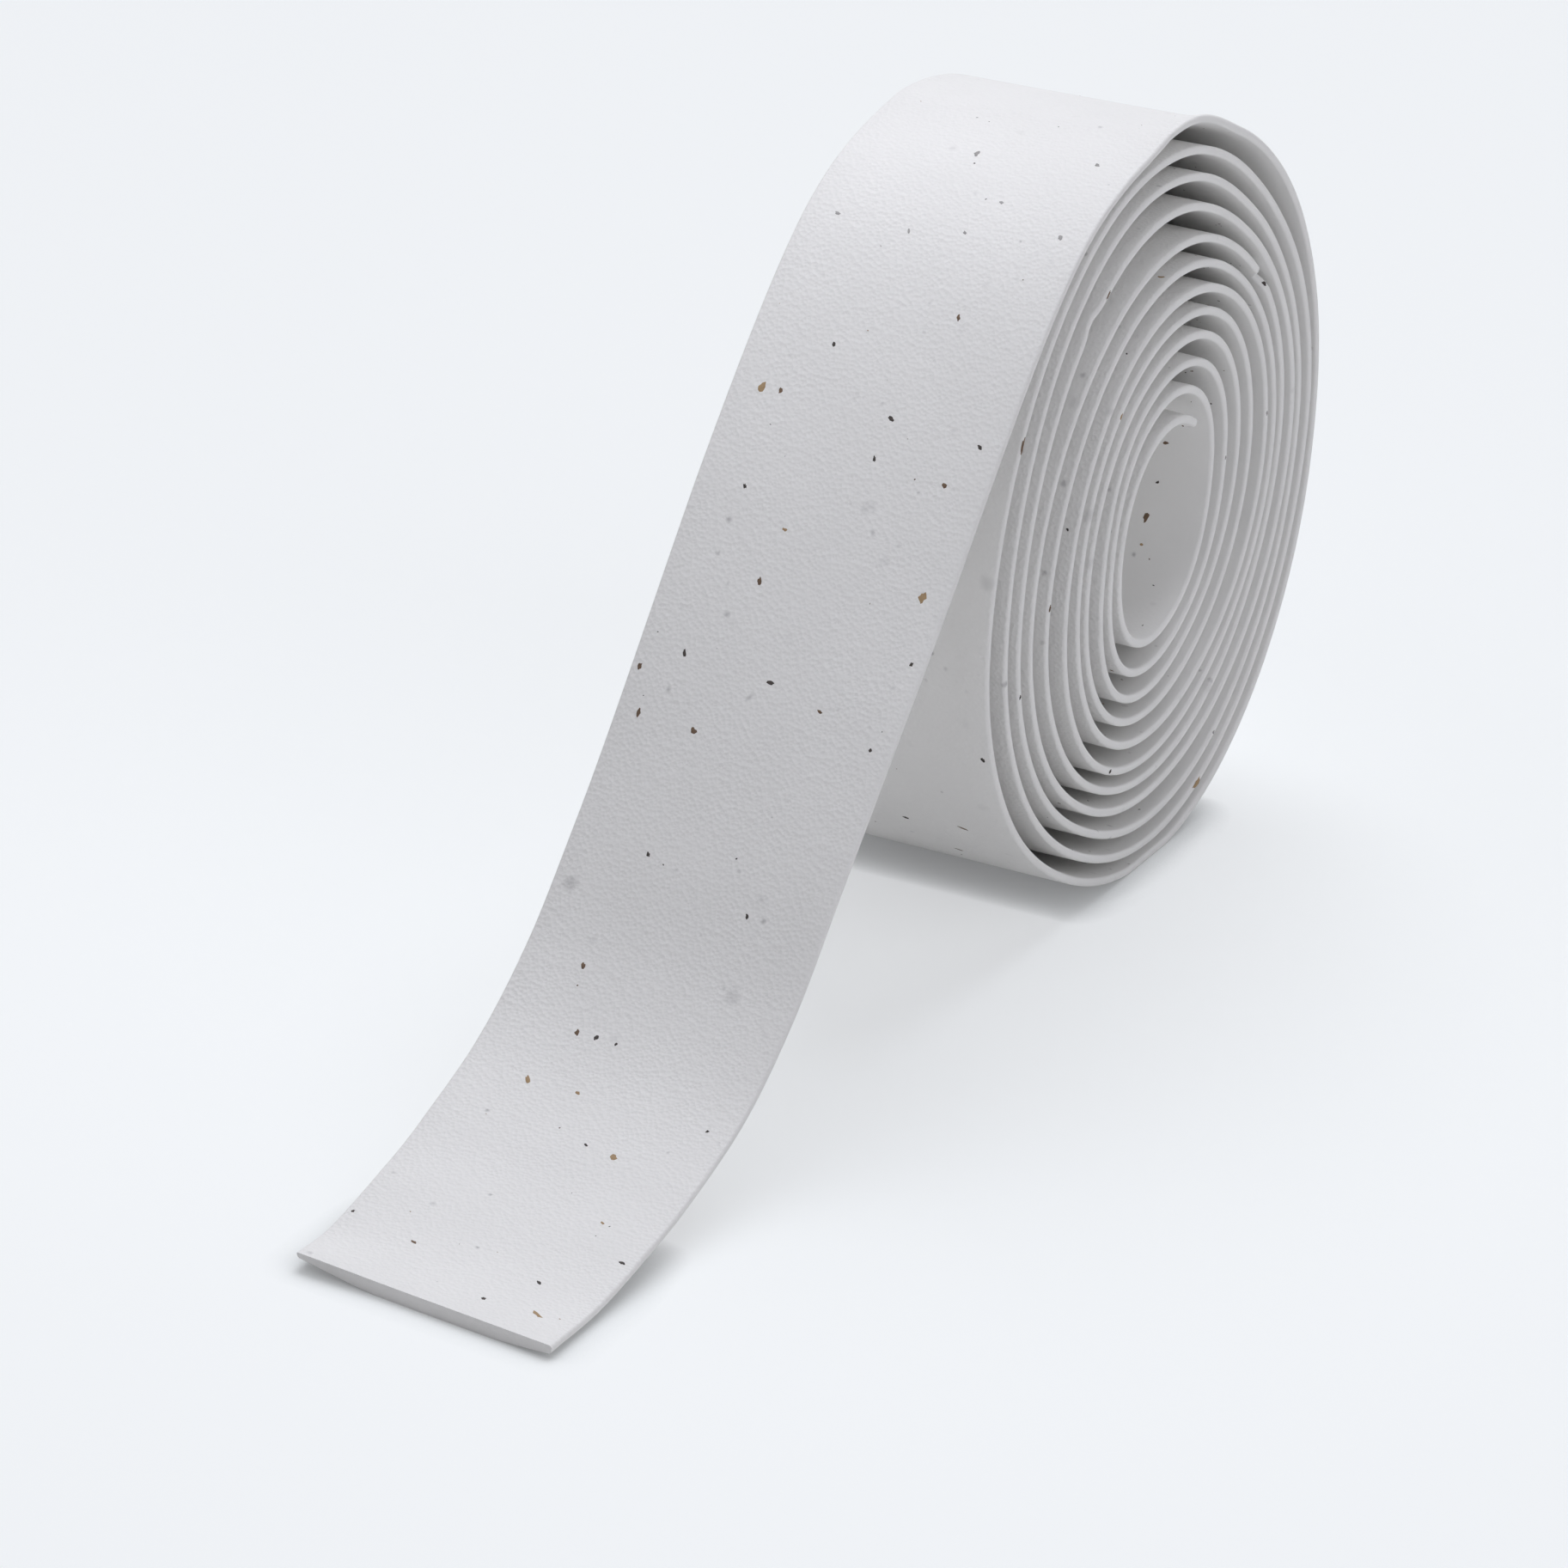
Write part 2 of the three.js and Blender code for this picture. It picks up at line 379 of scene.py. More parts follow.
class TapeSkin:
    """The skin of the wound tape: a row of section points for each station along it."""

    def __init__(self, sizes):
        self.sizes = sizes
        self.section = tape_section(sizes)
        self.route, self.leave = tape_route(sizes)
        self.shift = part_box("tape")[0][0] - min(p.x for p in self.route)
        self.top = max(p.y for p in self.route)
        self.rows = [self.row(station) for station in range(len(self.route))]
        self.length = (len(self.route) - 1) * STATION_STEP * MM

    def row(self, station):
        """The section's points at one station."""
        sizes = self.sizes
        last = len(self.route) - 1
        before = self.route[max(station - 1, 0)]
        after = self.route[min(station + 1, last)]
        along = (after - before).normalized()
        here = self.route[station]
        tail_share = max((station - self.leave) / (last - self.leave), 0)
        skew = tail_share * sizes.skew / sizes.width
        dip = twist_dip(tail_share, sizes.twist)
        sag = far_edge_sag(here.y, self.top, sizes.sag)
        in_roll = 1 - ease(0, CALM_SHARE, tail_share)
        place = station * STATION_STEP
        sideways = in_roll * sizes.wander * noise.noise(Vector((place / WANDER_WAVE, WANDER_ROW, 0)))
        outwards, cut = edge_mark(place)
        corner = ease(0, 1, 1 - (last - station) * STATION_STEP / CORNER_REACH)
        points = []
        for across, inward in self.section:
            edge_share = ease(BORDER_START, 1, abs(across) / (sizes.width / 2))
            near_share = edge_share if across > 0 else 0
            noise_row = NEAR_FLARE_ROW if across > 0 else FAR_FLARE_ROW
            bend = sizes.flare * edge_share * noise.noise(Vector((place / FLARE_WAVE, noise_row, 0)))
            far_share = 0.5 - across / sizes.width
            depth = inward + dip * far_share + bend * in_roll - outwards * near_share
            curl = corner * ease(CORNER_START, 0.5, far_share - 0.5) * MM
            tip = CORNER_POINT * curl * max(1 - inward / sizes.edge_thickness, 0)
            x = here.x + along.y * depth + along.x * skew * across + tip
            z = here.y - along.x * depth + along.y * skew * across - sag * far_share
            y = across + sideways - cut * near_share
            points.append(Vector((x + self.shift, y, max(z, 0) + CORNER_LIFT * curl)))
        return points

    def face_place(self, along, across, on_back):
        """A point on a face of the tape with its along, across and outward directions."""
        # Just short of the last station, so that there is always a next one
        position = min(max(along / (STATION_STEP * MM), 1), len(self.rows) - 2.001)
        station = int(position)
        columns = self.face_columns(on_back)
        column = 0
        while column < len(columns) - 2 and columns[column + 1][0] < across:
            column += 1
        low_across, low = columns[column]
        high_across, high = columns[column + 1]
        share = (across - low_across) / (high_across - low_across)
        first = self.rows[station][low].lerp(self.rows[station][high], share)
        second = self.rows[station + 1][low].lerp(self.rows[station + 1][high], share)
        point = first.lerp(second, position - station)
        forwards = (second - first).normalized()
        sideways = (self.rows[station][high] - self.rows[station][low]).normalized()
        outward = forwards.cross(sideways).normalized()
        return point, forwards, sideways, outward if not on_back else -outward

    def edge_place(self, along):
        """A point on the near edge with its along direction, towards the axis, and into the tape."""
        station = min(int(along / (STATION_STEP * MM)), len(self.rows) - 2)
        top = SHOW_COLUMNS + EDGE_ARC_STEPS - 1
        first, below = self.rows[station][top], self.rows[station][top + 1]
        second = self.rows[station + 1][top]
        forwards = (second - first).normalized()
        inwards = (below - first).normalized()
        return (first + below) / 2, forwards, inwards, inwards.cross(forwards).normalized()

    def face_columns(self, on_back):
        """The columns of one face, as (across, index in the section), from the far side."""
        found = []
        for index, (across, depth) in enumerate(self.section):
            is_back = depth > self.sizes.edge_thickness * NEARLY_ALL
            is_show = depth == 0
            if (on_back and is_back) or (not on_back and is_show):
                found.append((across, index))
        return sorted(found)


def mesh_object(name, vertices, faces, materials):
    """A new mesh object in the scene, at the origin."""
    mesh = bpy.data.meshes.new(name)
    mesh.from_pydata(vertices, [], faces)
    mesh.validate()
    for material in materials:
        mesh.materials.append(material)
    thing = bpy.data.objects.new(name, mesh)
    bpy.context.collection.objects.link(thing)
    return thing


def build_tape(skin, material):
    """The tape as one closed skin with both ends capped."""
    size = len(skin.section)
    vertices = [point for row in skin.rows for point in row]
    faces = []
    last = len(skin.rows) - 1
    for station in range(last):
        for corner in range(size):
            a = station * size + corner
            b = station * size + (corner + 1) % size
            faces.append((a, b, b + size, a + size))
    faces.append(tuple(reversed(range(size))))
    faces.append(tuple(range(last * size, last * size + size)))
    tape = mesh_object("foam_tape", vertices, faces, [material])
    tape.data.polygons.foreach_set("use_smooth", [True] * len(faces))
    tape.data.polygons[-1].use_smooth = False
    tape.data.polygons[-2].use_smooth = False
    for edge in tape.data.edges:
        first, second = edge.vertices
        in_end_ring = min(first, second) >= last * size or max(first, second) < size
        edge.use_edge_sharp = in_end_ring

    show = tape.data.attributes.new("show_face", "FLOAT", "POINT")
    values = [1.0 - min(depth / skin.sizes.rounding, 1) for _, depth in skin.section] * (last + 1)
    show.data.foreach_set("value", values)

    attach(tape, "root")
    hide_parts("tape")
    return tape


TAN = 0
BROWN = 1
DARK = 2
GREY = 3

# The larger flecks on the tail and on the front of the roll: millimetres back from the cut end,
# millimetres from the middle of the tape towards its near edge, length, width, turn in degrees
# from the tape's own direction, and tone
PLACED_FLECKS = (
    (4.3, 4.7, 0.8, 0.7, 0, DARK),
    (5.0, 10.7, 1.8, 0.6, 62, TAN),
    (9.6, -6.3, 1.0, 0.5, 70, BROWN),
    (10.7, 7.9, 0.8, 0.5, 55, DARK),
    (10.9, -14.2, 0.6, 0.4, 0, DARK),
    (18.4, 13.6, 0.8, 0.5, 80, DARK),
    (23.1, 8.8, 0.6, 0.4, 60, TAN),
    (32.5, 5.3, 1.1, 0.8, 10, TAN),
    (32.8, 1.9, 0.6, 0.4, 40, DARK),
    (38.4, -7.7, 1.3, 0.5, 30, TAN),
    (39.0, -2.2, 0.8, 0.6, 60, TAN),
    (40.2, 12.3, 0.5, 0.4, 0, DARK),
    (45.9, -5.6, 1.0, 0.6, 15, BROWN),
    (46.1, -3.5, 0.8, 0.5, 0, DARK),
    (46.2, -1.2, 0.5, 0.3, 160, DARK),
    (53.0, -8.2, 0.9, 0.5, 15, BROWN),
    (63.6, 6.4, 0.7, 0.35, 30, DARK),
    (66.3, -6.1, 0.6, 0.4, 40, DARK),
    (79.9, -6.1, 0.9, 0.7, 40, BROWN),
    (80.0, -12.5, 1.0, 0.5, 5, BROWN),
    (83.6, 12.7, 0.5, 0.4, 0, DARK),
    (84.6, -14.0, 0.9, 0.6, 0, BROWN),
    (85.8, 6.1, 0.7, 0.35, 70, BROWN),
    (87.1, 0.0, 0.95, 0.45, 90, DARK),
    (87.4, -9.9, 1.0, 0.4, 20, DARK),
    (93.2, 13.6, 0.5, 0.4, 0, DARK),
    (96.7, -4.8, 1.1, 0.6, 10, BROWN),
    (100.0, 12.2, 1.4, 0.9, 5, TAN),
    (102.6, -4.1, 0.6, 0.4, 80, TAN),
    (105.8, -9.7, 0.6, 0.4, 30, DARK),
    (111.6, 10.4, 0.9, 0.6, 60, BROWN),
    (112.3, 2.4, 0.8, 0.4, 20, DARK),
    (116.3, 12.6, 0.7, 0.4, 50, DARK),
    (116.6, -11.6, 1.4, 0.9, 5, TAN),
    (116.7, -9.6, 0.7, 0.5, 0, BROWN),
    (116.8, 2.6, 1.0, 0.6, 65, DARK),
    (123.0, -6.0, 0.7, 0.4, 20, DARK),
    (129.0, 5.5, 0.8, 0.4, 15, BROWN),
    (137.7, -3.4, 0.7, 0.3, 20, GREY),
    (138.2, -11.4, 0.8, 0.4, 70, GREY),
    (138.9, 2.3, 0.6, 0.35, 40, GREY),
    (140.6, 12.0, 0.9, 0.5, 15, GREY),
    (143.8, 4.2, 0.7, 0.4, 60, GREY),
    (151.0, -1.7, 1.1, 0.6, 10, GREY),
    (152.7, 10.7, 0.8, 0.5, 30, GREY),
    (320.0, 6.0, 1.3, 0.5, 60, BROWN),
    (328.8, 9.0, 1.2, 0.5, 60, BROWN),
    (327.8, 2.4, 0.9, 0.5, 80, DARK),
    (343.2, 14.0, 0.7, 0.5, 0, DARK),
)
# Flecks on the back of the tape that show in the eye: millimetres from the inner end, across
# towards the near edge, length, width, turn and tone
EYE_FLECKS = (
    (58.6, 9.0, 1.5, 0.7, 10, BROWN),
    (66.0, 4.0, 0.7, 0.5, 40, GREY),
)
# Flecks that show on the near edge: millimetres from the inner end, length, width and tone.
# They are set with their thick side outwards, so they stand out as small crumbs.
EDGE_FLECKS = (
    (157.5, 0.6, 0.4, GREY),
    (439.3, 1.0, 0.5, TAN),
    (537.0, 0.6, 0.5, GREY),
    (642.8, 0.7, 0.5, DARK),
    (782.0, 0.9, 0.6, BROWN),
    (1189.1, 0.7, 0.5, DARK),
    (1253.5, 0.6, 0.5, GREY),
    (895.0, 0.7, 0.5, DARK),
    (1143.5, 1.3, 0.5, BROWN),
    (1482.3, 2.0, 0.95, TAN),
    (1630.7, 2.0, 0.8, BROWN),
)
# The stretches of the show face where the larger flecks are the placed ones, back from the cut end
PLACED_STRETCHES = ((0, 184), (300, 350))
# The scattered flecks: spread of their lengths as a lognormal in millimetres, the longest one,
# the longest that may join the placed ones, and the bare border along the edges
FLECK_SPREAD = (-1.15, 0.5)
FLECK_LONGEST = 1.3
FLECK_SMALL = 0.3
FLECK_BORDER = 0.9
# Points round the rim of a placed chip and of a scattered one
PLACED_RIM = 12
FLECK_RIM = 8
# How far a chip's middle, its rim and its underside lie above and below the skin, in millimetres
FLECK_HEIGHT = 0.025
FLECK_RIM_HEIGHT = 0.006
FLECK_SINK = 0.08
# Ranges of the unevenness of a chip's rim and of its width as a share of its length
FLECK_REACH = (0.58, 1.12)
FLECK_SLIMNESS = (0.4, 0.85)
SCATTERED_TONES = (TAN, BROWN, BROWN, DARK, DARK, DARK)


def fleck_lens(place, mirrored, size, turn, rim, rng):
    """One chip as a closed lens: its vertices and faces, set a little into the skin."""
    point, forwards, sideways, outward = place
    length, width = size
    vertices = []
    for number in range(rim):
        angle = math.tau * number / rim
        reach = rng.uniform(*FLECK_REACH)
        u = reach * length / 2 * math.cos(angle)
        v = reach * width / 2 * math.sin(angle)
        forward_part = u * math.cos(turn) - v * math.sin(turn)
        side_part = u * math.sin(turn) + v * math.cos(turn)
        lift = outward * FLECK_RIM_HEIGHT * MM
        vertices.append(point + forwards * forward_part + sideways * side_part + lift)
    vertices.append(point + outward * FLECK_HEIGHT * MM)
    vertices.append(point - outward * FLECK_SINK * MM)
    faces = []
    for number in range(rim):
        following = (number + 1) % rim
        top = (number, following, rim)
        bottom = (following, number, rim + 1)
        faces += [top[::-1], bottom[::-1]] if mirrored else [top, bottom]
    return vertices, faces


def build_flecks(skin, look, materials):
    """Cork flecks scattered over both faces of the tape, as thin closed chips in one mesh."""
    rng = random.Random(look.seed)
    vertices = []
    faces = []
    tones = []

    def add(chip, chip_faces, tone):
        """Join one chip to the mesh."""
        first = len(vertices)
        vertices.extend(chip)
        faces.extend(tuple(first + index for index in face) for face in chip_faces)
        tones.extend([tone] * len(chip_faces))

    for back_from_cut, across, length, width, turn, tone in PLACED_FLECKS:
        place = skin.face_place(skin.length - back_from_cut * MM, across * MM, False)
        size = (length * MM, width * MM)
        add(*fleck_lens(place, False, size, math.radians(turn), PLACED_RIM, rng), tone)
    for along, across, length, width, turn, tone in EYE_FLECKS:
        place = skin.face_place(along * MM, across * MM, True)
        size = (length * MM, width * MM)
        add(*fleck_lens(place, True, size, math.radians(turn), PLACED_RIM, rng), tone)
    for along, length, width, tone in EDGE_FLECKS:
        size = (length * MM, width * MM)
        add(*fleck_lens(skin.edge_place(along * MM), True, size, 0, PLACED_RIM, rng), tone)

    reach = skin.sizes.width / 2 - FLECK_BORDER * MM
    for _ in range(look.fleck_count):
        on_back = rng.random() < 0.5
        place = (rng.uniform(0, skin.length), rng.uniform(-reach, reach))
        length = min(rng.lognormvariate(*FLECK_SPREAD), FLECK_LONGEST) * MM
        size = (length, length * rng.uniform(*FLECK_SLIMNESS))
        turn = rng.uniform(0, math.pi)
        tone = rng.choice(SCATTERED_TONES)
        back_from_cut = (skin.length - place[0]) / MM
        among_placed = any(first < back_from_cut < last for first, last in PLACED_STRETCHES)
        if among_placed and not on_back and length > FLECK_SMALL * MM:
            continue
        face_place = skin.face_place(*place, on_back)
        add(*fleck_lens(face_place, on_back, size, turn, FLECK_RIM, rng), tone)
    flecks = mesh_object("cork_flecks", vertices, faces, materials)
    flecks.data.polygons.foreach_set("material_index", tones)
    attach(flecks, "root")
    return flecks


# Grey spots where flecks lie under the skin: the size of the cells that hold one spot each, the
# radius of the largest spot, both in millimetres, and the strength of the darkest
SUNK_SPOTS = (
    (6.0, 1.4, 0.60),
    (3.0, 0.55, 0.85),
)
# The size of the noise that makes a spot uneven, as a share of its cell
SPOT_SHAKE = 0.35
# Faint clouds in the foam: their size in millimetres and how much darker and lighter they are
CLOUD_SIZE = 9
CLOUD_TONES = (0.975, 1.025)
# The fuzz between the grain's cells, as a share of the grain's size, and the back's share of it all
FUZZ_SIZE = 2.2
BACK_GRAIN = 0.2
FOAM_SPECULAR = 0.3
CORK_ROUGHNESS = 0.8
CORK_MOTTLE_SIZE = 0.5


def new_material(name):
    """A material with a Principled shader, and its node tree."""
    material = bpy.data.materials.new(name)
    material.use_nodes = True
    nodes = material.node_tree.nodes
    return material, nodes, material.node_tree.links, nodes["Principled BSDF"]


def sunk_spots(nodes, links, place, cell, radius, strength):
    """Soft grey spots of uneven size and strength, about one to a cell: 0 outside them."""
    shake = nodes.new("ShaderNodeTexNoise")
    shake.inputs["Scale"].default_value = 1 / (SPOT_SHAKE * cell)
    links.new(place, shake.inputs["Vector"])
    shift = nodes.new("ShaderNodeVectorMath")
    shift.operation = "MULTIPLY_ADD"
    shift.inputs[1].default_value = (radius, radius, radius)
    links.new(shake.outputs["Color"], shift.inputs[0])
    links.new(place, shift.inputs[2])
    cells = nodes.new("ShaderNodeTexVoronoi")
    cells.inputs["Scale"].default_value = 1 / cell
    links.new(shift.outputs["Vector"], cells.inputs["Vector"])
    luck = nodes.new("ShaderNodeSeparateColor")
    links.new(cells.outputs["Color"], luck.inputs["Color"])
    reach = nodes.new("ShaderNodeMath")
    reach.operation = "MULTIPLY"
    reach.inputs[1].default_value = radius / cell
    links.new(luck.outputs["Red"], reach.inputs[0])
    fade = nodes.new("ShaderNodeMapRange")
    fade.interpolation_type = "SMOOTHSTEP"
    fade.inputs["To Min"].default_value = strength
    fade.inputs["To Max"].default_value = 0.0
    links.new(cells.outputs["Distance"], fade.inputs["Value"])
    links.new(reach.outputs["Value"], fade.inputs["From Max"])
    some = nodes.new("ShaderNodeMath")
    some.operation = "MULTIPLY"
    links.new(fade.outputs["Result"], some.inputs[0])
    links.new(luck.outputs["Green"], some.inputs[1])
    return some.outputs["Value"]


def foam_material(look):
    """White foam: leather grain on the show face, smooth back, grey flecks sunk under the skin."""
    material, nodes, links, shader = new_material("white_foam")
    place = nodes.new("ShaderNodeTexCoord").outputs["Object"]
    shader.inputs["Roughness"].default_value = look.roughness
    shader.inputs["Specular IOR Level"].default_value = FOAM_SPECULAR

    clouds = nodes.new("ShaderNodeTexNoise")
    clouds.inputs["Scale"].default_value = 1 / (CLOUD_SIZE * MM)
    clouds.inputs["Detail"].default_value = 1
    links.new(place, clouds.inputs["Vector"])
    tint = nodes.new("ShaderNodeMix")
    tint.data_type = "RGBA"
    for socket, level in zip(("A", "B"), CLOUD_TONES):
        tint.inputs[socket].default_value = (*[min(c * level, 1) for c in look.colour], 1)
    links.new(clouds.outputs["Fac"], tint.inputs["Factor"])

    colour = tint.outputs["Result"]
    for cell, radius, strength in SUNK_SPOTS:
        spots = nodes.new("ShaderNodeMix")
        spots.data_type = "RGBA"
        spots.inputs["B"].default_value = (*look.spot_colour, 1)
        fade = sunk_spots(nodes, links, place, cell * MM, radius * MM, strength)
        links.new(fade, spots.inputs["Factor"])
        links.new(colour, spots.inputs["A"])
        colour = spots.outputs["Result"]
    links.new(colour, shader.inputs["Base Color"])

    grain = nodes.new("ShaderNodeTexVoronoi")
    grain.inputs["Scale"].default_value = 1 / look.grain_size
    links.new(place, grain.inputs["Vector"])
    fuzz = nodes.new("ShaderNodeTexNoise")
    fuzz.inputs["Scale"].default_value = 1 / (look.grain_size * FUZZ_SIZE)
    fuzz.inputs["Detail"].default_value = 2
    links.new(place, fuzz.inputs["Vector"])
    height = nodes.new("ShaderNodeMath")
    height.operation = "ADD"
    links.new(grain.outputs["Distance"], height.inputs[0])
    links.new(fuzz.outputs["Fac"], height.inputs[1])

    face = nodes.new("ShaderNodeAttribute")
    face.attribute_name = "show_face"
    depth = nodes.new("ShaderNodeMapRange")
    depth.inputs["To Min"].default_value = BACK_GRAIN
    links.new(face.outputs["Fac"], depth.inputs["Value"])
    bump = nodes.new("ShaderNodeBump")
    bump.inputs["Distance"].default_value = look.grain_depth
    links.new(depth.outputs["Result"], bump.inputs["Strength"])
    links.new(height.outputs["Value"], bump.inputs["Height"])
    links.new(bump.outputs["Normal"], shader.inputs["Normal"])
    return material


def fleck_material(name, dark, light):
    """Cork chip: two tones mottled together, dry and rough."""
    material, nodes, links, shader = new_material(name)
    place = nodes.new("ShaderNodeTexCoord")
    mottle = nodes.new("ShaderNodeTexNoise")
    mottle.inputs["Scale"].default_value = 1 / (CORK_MOTTLE_SIZE * MM)
    mottle.inputs["Detail"].default_value = 2
    links.new(place.outputs["Object"], mottle.inputs["Vector"])
    tone = nodes.new("ShaderNodeMix")
    tone.data_type = "RGBA"
    tone.inputs["A"].default_value = (*dark, 1)
    tone.inputs["B"].default_value = (*light, 1)
    links.new(mottle.outputs["Fac"], tone.inputs["Factor"])
    links.new(tone.outputs["Result"], shader.inputs["Base Color"])
    shader.inputs["Roughness"].default_value = CORK_ROUGHNESS
    return material


def fleck_materials():
    """The tones of cork, in the order of TAN, BROWN, DARK and GREY."""
    return [
        fleck_material("tan_cork", (0.26, 0.16, 0.08), (0.50, 0.36, 0.20)),
        fleck_material("brown_cork", (0.07, 0.045, 0.03), (0.24, 0.15, 0.09)),
        fleck_material("dark_cork", (0.02, 0.018, 0.018), (0.09, 0.07, 0.06)),
        fleck_material("grey_cork", (0.22, 0.21, 0.20), (0.50, 0.49, 0.48)),
    ]


# Camera: seen from in front of the cut end and a little to the near side, through a long lens.
# Angles in degrees; the aim is given from the floor under the roll's axis, in millimetres.
CAMERA_AZIMUTH = 23.06
CAMERA_ELEVATION = 23.57
CAMERA_ROLL = 4.42
CAMERA_DISTANCE = 2409
CAMERA_LENS = 556.1
CAMERA_AIM_FORWARD = 58.3
CAMERA_AIM_UP = 27.2
SENSOR_WIDTH = 36
CLIP_END = 100
FLOOR_SIZE = 6.0
# Where each soft light comes from
KEY_DIRECTION = (-0.50, -0.15, 0.85)
SIDE_DIRECTION = (0.35, 0.80, 0.48)
# The small lamp and the point that it faces, from the floor under the roll's axis, in millimetres
LAMP_PLACE = (61, -30, 150)
LAMP_AIM = (21, 0, 70)
LIGHT_COLOUR = (0.935, 0.942, 1.0)
# How open the floor must be for its darkest and its full glow, and how much the darkest keeps
CONTACT_RANGE = (0.5, 0.97)
CONTACT_DARKEST = 0.35
CONTACT_SAMPLES = 3
# The floor's colour as the camera sees it lit, which with the glow makes the backdrop's colour
SEEN_FLOOR_COLOUR = (0.95, 1.0, 0.99)


def seen_directly(nodes, links):
    """1 for the camera and for mirror or clear paths to it, 0 for light that bounces."""
    path = nodes.new("ShaderNodeLightPath")
    total = path.outputs["Is Camera Ray"]
    for kind in ("Is Glossy Ray", "Is Transmission Ray"):
        add = nodes.new("ShaderNodeMath")
        add.operation = "ADD"
        add.use_clamp = True
        links.new(total, add.inputs[0])
        links.new(path.outputs[kind], add.inputs[1])
        total = add.outputs["Value"]
    return total


def build_floor(look):
    """A large pale floor: it takes the roll's soft shadow and keeps some of its own pale colour."""
    half = FLOOR_SIZE / 2
    corners = [(-half, -half, 0), (half, -half, 0), (half, half, 0), (-half, half, 0)]
    material, nodes, links, shader = new_material("pale_floor")
    shader.inputs["Roughness"].default_value = 1.0
    shader.inputs["Specular IOR Level"].default_value = 0.0
    seen = seen_directly(nodes, links)

    tone = nodes.new("ShaderNodeMix")
    tone.data_type = "RGBA"
    tone.inputs["A"].default_value = (*look.floor_colour, 1)
    tone.inputs["B"].default_value = (*SEEN_FLOOR_COLOUR, 1)
    links.new(seen, tone.inputs["Factor"])
    links.new(tone.outputs["Result"], shader.inputs["Base Color"])

    glow = nodes.new("ShaderNodeEmission")
    glow.inputs["Color"].default_value = (*look.glow_colour, 1)
    contact = nodes.new("ShaderNodeAmbientOcclusion")
    contact.inputs["Distance"].default_value = look.contact_reach
    contact.samples = CONTACT_SAMPLES
    line = nodes.new("ShaderNodeMapRange")
    line.interpolation_type = "SMOOTHSTEP"
    line.inputs["From Min"].default_value = CONTACT_RANGE[0]
    line.inputs["From Max"].default_value = CONTACT_RANGE[1]
    line.inputs["To Min"].default_value = CONTACT_DARKEST
    links.new(contact.outputs["AO"], line.inputs["Value"])
    links.new(line.outputs["Result"], glow.inputs["Strength"])

    share = nodes.new("ShaderNodeMath")
    share.operation = "MULTIPLY"
    share.inputs[1].default_value = look.glow_level
    links.new(seen, share.inputs[0])
    mix = nodes.new("ShaderNodeMixShader")
    links.new(share.outputs["Value"], mix.inputs["Fac"])
    links.new(shader.outputs["BSDF"], mix.inputs[1])
    links.new(glow.outputs["Emission"], mix.inputs[2])
    links.new(mix.outputs["Shader"], nodes["Material Output"].inputs["Surface"])
    floor = mesh_object("floor", corners, [(0, 1, 2, 3)], [material])
    return floor


def build_world(look):
    """Soft light from all round, and the floor's colour behind it for the camera."""
    world = bpy.data.worlds.new("studio")
    world.use_nodes = True
    bpy.context.scene.world = world
    nodes = world.node_tree.nodes
    links = world.node_tree.links
    fill = nodes["Background"]
    fill.inputs["Color"].default_value = (*LIGHT_COLOUR, 1)
    fill.inputs["Strength"].default_value = look.fill_strength
    backdrop = nodes.new("ShaderNodeBackground")
    backdrop.inputs["Color"].default_value = (*look.backdrop_colour, 1)
    mix = nodes.new("ShaderNodeMixShader")
    links.new(seen_directly(nodes, links), mix.inputs["Fac"])
    links.new(fill.outputs["Background"], mix.inputs[1])
    links.new(backdrop.outputs["Background"], mix.inputs[2])
    links.new(mix.outputs["Shader"], nodes["World Output"].inputs["Surface"])


def hang_light(name, kind, place, aim, energy):
    """A light at a place, turned towards its aim and left out of the picture itself."""
    lamp = bpy.data.lights.new(name, kind)
    lamp.energy = energy
    lamp.color = LIGHT_COLOUR
    holder = bpy.data.objects.new(name, lamp)
    holder.location = place
    holder.rotation_euler = (Vector(place) - Vector(aim)).to_track_quat("Z", "Y").to_euler()
    holder.visible_camera = False
    bpy.context.collection.objects.link(holder)
    return lamp


def build_lights(look, axis_x):
    """A soft key from above and behind, a soft side light, and a small lamp over the tail."""
    key = hang_light("key", "SUN", KEY_DIRECTION, (0, 0, 0), look.key_strength)
    key.angle = look.key_softness
    side = hang_light("side", "SUN", SIDE_DIRECTION, (0, 0, 0), look.side_strength)
    side.angle = look.side_softness
    place = (axis_x + LAMP_PLACE[0] * MM, LAMP_PLACE[1] * MM, LAMP_PLACE[2] * MM)
    aim = (axis_x + LAMP_AIM[0] * MM, LAMP_AIM[1] * MM, LAMP_AIM[2] * MM)
    lamp = hang_light("small_lamp", "AREA", place, aim, look.lamp_power)
    lamp.shape = "DISK"
    lamp.size = look.lamp_size


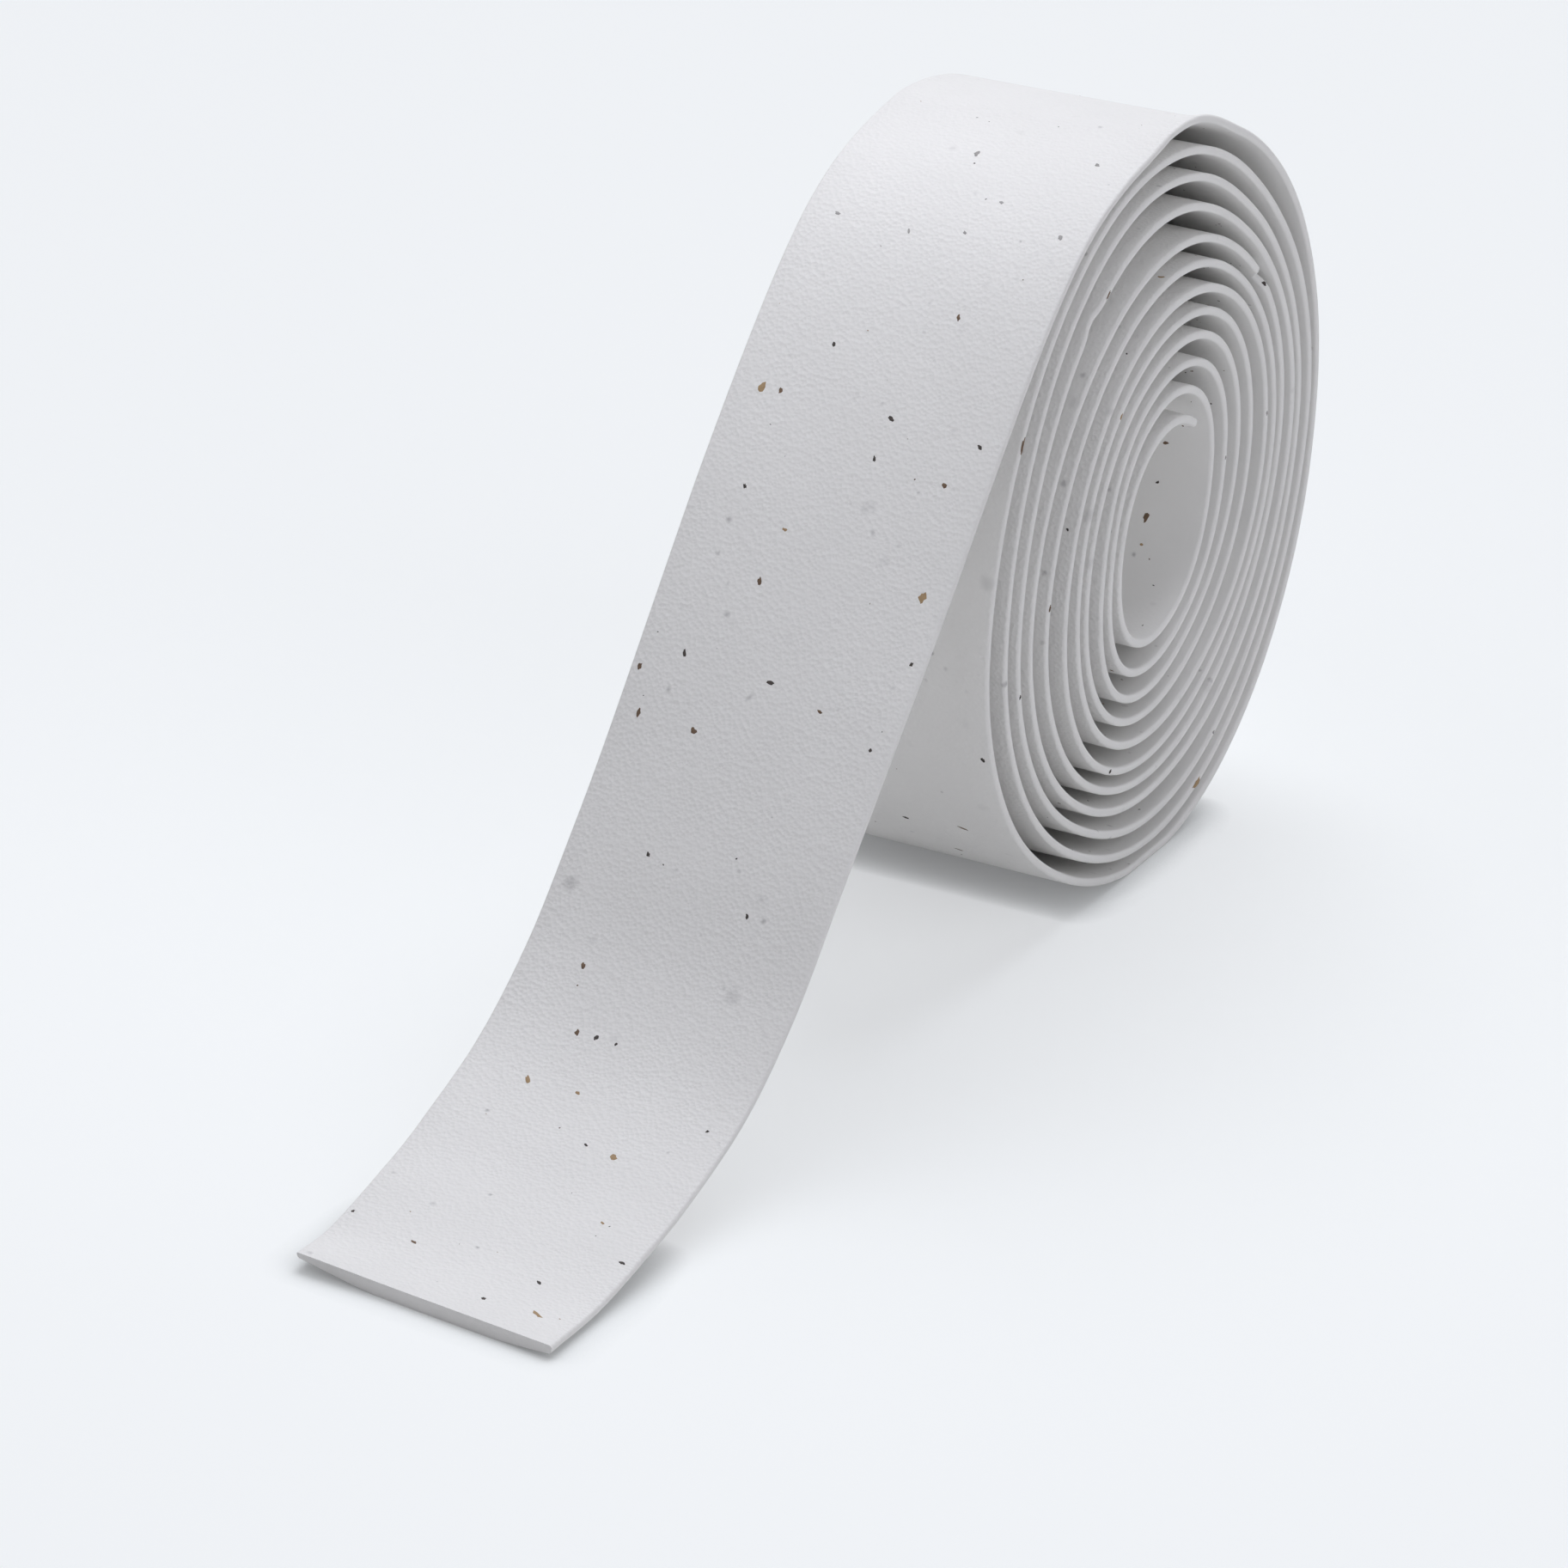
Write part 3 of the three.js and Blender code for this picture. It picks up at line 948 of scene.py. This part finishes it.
def build_camera(axis_x):
    """The camera at the photograph's viewing angle."""
    azimuth = math.radians(CAMERA_AZIMUTH)
    elevation = math.radians(CAMERA_ELEVATION)
    roll = math.radians(CAMERA_ROLL)
    back = Vector((math.cos(elevation) * math.cos(azimuth),
                   math.cos(elevation) * math.sin(azimuth),
                   math.sin(elevation)))
    right = (-back).cross(Vector((0, 0, 1))).normalized()
    up = right.cross(-back)
    right, up = (right * math.cos(roll) + up * math.sin(roll),
                 up * math.cos(roll) - right * math.sin(roll))
    aim = Vector((axis_x + CAMERA_AIM_FORWARD * MM, 0, CAMERA_AIM_UP * MM))
    lens = bpy.data.cameras.new("camera")
    lens.lens = CAMERA_LENS
    lens.sensor_width = SENSOR_WIDTH
    lens.clip_end = CLIP_END
    camera = bpy.data.objects.new("camera", lens)
    place = Matrix((right, up, back)).transposed().to_4x4()
    place.translation = aim + back * CAMERA_DISTANCE * MM
    camera.matrix_world = place
    bpy.context.collection.objects.link(camera)
    bpy.context.scene.camera = camera


class TAPE_ROLL_OT_wind_tape(Operator):
    """Wind the foam tape into its roll, with its tail"""

    bl_idname = "tape_roll.wind_tape"
    bl_label = "Wind the tape"

    def execute(self, context):
        scene = context.scene
        build_tape(TapeSkin(scene.tape_sizes), foam_material(scene.foam_look))
        return {"FINISHED"}


class TAPE_ROLL_OT_set_flecks(Operator):
    """Set cork flecks into both faces of the tape"""

    bl_idname = "tape_roll.set_flecks"
    bl_label = "Set the flecks"

    def execute(self, context):
        scene = context.scene
        build_flecks(TapeSkin(scene.tape_sizes), scene.foam_look, fleck_materials())
        return {"FINISHED"}


class TAPE_ROLL_OT_set_stage(Operator):
    """Lay the floor, hang the lights and place the camera"""

    bl_idname = "tape_roll.set_stage"
    bl_label = "Set the stage"

    def execute(self, context):
        scene = context.scene
        scene.view_settings.view_transform = "Standard"
        build_floor(scene.studio_look)
        build_world(scene.studio_look)
        axis_x = TapeSkin(scene.tape_sizes).shift
        build_lights(scene.studio_look, axis_x)
        build_camera(axis_x)
        return {"FINISHED"}


OPERATORS = (TAPE_ROLL_OT_wind_tape, TAPE_ROLL_OT_set_flecks, TAPE_ROLL_OT_set_stage)


class VIEW3D_PT_tape_roll(Panel):
    """Steps that make the tape roll"""

    bl_label = "Tape roll"
    bl_space_type = "VIEW_3D"
    bl_region_type = "UI"
    bl_category = "Tape roll"

    def draw(self, context):
        for settings in (context.scene.tape_sizes, context.scene.foam_look, context.scene.studio_look):
            box = self.layout.box()
            for name in settings.__annotations__:
                box.prop(settings, name)
        for operator in OPERATORS:
            self.layout.operator(operator.bl_idname)


PROPERTY_GROUPS = {"tape_sizes": TapeSizes, "foam_look": FoamLook, "studio_look": StudioLook}


def register():
    """Register the classes and hang the settings on the scene."""
    for name, group in PROPERTY_GROUPS.items():
        bpy.utils.register_class(group)
        setattr(bpy.types.Scene, name, PointerProperty(type=group))
    for item in (*OPERATORS, VIEW3D_PT_tape_roll):
        bpy.utils.register_class(item)


def unregister():
    """Take the classes and the settings away again."""
    for item in reversed((*OPERATORS, VIEW3D_PT_tape_roll)):
        bpy.utils.unregister_class(item)
    for name, group in PROPERTY_GROUPS.items():
        delattr(bpy.types.Scene, name)
        bpy.utils.unregister_class(group)


def main():
    """Make the roll and its stage."""
    register()
    bpy.ops.tape_roll.wind_tape()
    bpy.ops.tape_roll.set_flecks()
    bpy.ops.tape_roll.set_stage()


if __name__ == "__main__":
    main()
